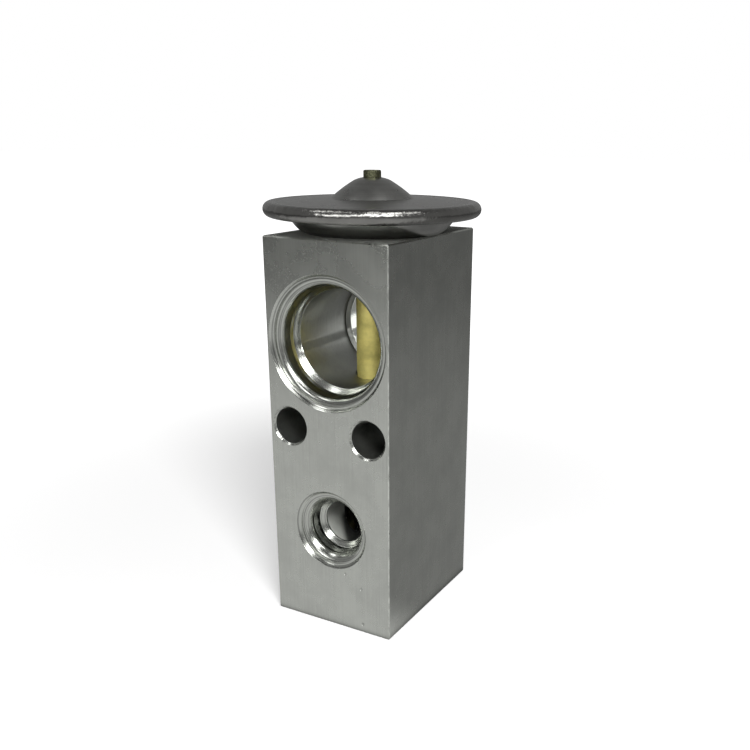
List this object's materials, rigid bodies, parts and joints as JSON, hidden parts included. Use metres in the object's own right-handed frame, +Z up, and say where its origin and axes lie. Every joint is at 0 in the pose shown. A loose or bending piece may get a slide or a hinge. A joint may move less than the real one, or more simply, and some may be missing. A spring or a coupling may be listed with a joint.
{
  "type": "thermostatic expansion valve",
  "caption": "Block-type expansion valve for a vehicle air conditioner: aluminium block with stepped ports, steel power head, brass sensing rod and a sprung ball valve.",
  "frame": {"origin": "centre of the block's bottom face", "axes": "+Z up along the valve's own axis, towards the power head; -Y out of the front face, where the liquid inlet is; +X to the right seen from the front"},
  "size_m": [0.0392, 0.0392, 0.0836],
  "materials": {
    "block_aluminium": "satin, drawn and machined",
    "head_steel": "stamped stainless steel, satin",
    "weld_steel": "polished by the weld",
    "plug_brass": "dull",
    "rod_brass": "satin",
    "seat_brass": "machined",
    "screw_brass": "machined",
    "inner_steel": "machined",
    "spring_steel": "drawn wire and strip",
    "ball_steel": "polished",
    "seal_rubber": "smooth"
  },
  "bodies": {
    "valve_body": {"body_block": "block_aluminium", "upper_cover": "head_steel", "lower_cover": "head_steel", "rim_weld": "weld_steel", "charge_plug": "plug_brass", "diaphragm": "inner_steel", "head_seal_ring": "seal_rubber", "rod_retainer": "inner_steel", "rod_seal_ring": "seal_rubber", "orifice_seat": "seat_brass", "valve_spring": "spring_steel"},
    "stem": {"stop_plate": "inner_steel", "sensing_rod": "rod_brass", "push_rod": "inner_steel", "valve_ball": "ball_steel", "ball_carrier": "inner_steel", "damper_ring": "spring_steel"},
    "adjuster_seal": {"adjuster_seal_ring": "seal_rubber"},
    "adjuster": {"adjusting_screw": "screw_brass"}
  },
  "joints": [
    {"name": "stem_slide", "type": "slide", "parent": "valve_body", "child": "stem", "axis": [0, 0, 1], "range_m": [0, 0.0008], "stiffness_N_per_m": 600, "springref_m": -0.002, "deforming": ["diaphragm", "valve_spring"]},
    {"name": "adjuster_travel", "type": "slide", "parent": "valve_body", "child": "adjuster_seal", "axis": [0, 0, 1], "range_m": [-0.0005, 0.0005], "deforming": ["valve_spring"]},
    {"name": "adjuster_turn", "type": "hinge", "parent": "adjuster_seal", "child": "adjuster", "pos_m": [0, 0, 0], "axis": [0, 0, 1], "range_deg": [-180, 180]}
  ],
  "couplings": [
    {"joint": "adjuster_travel", "follows": "adjuster_turn", "m_per_rad": 0.00015915}
  ]
}
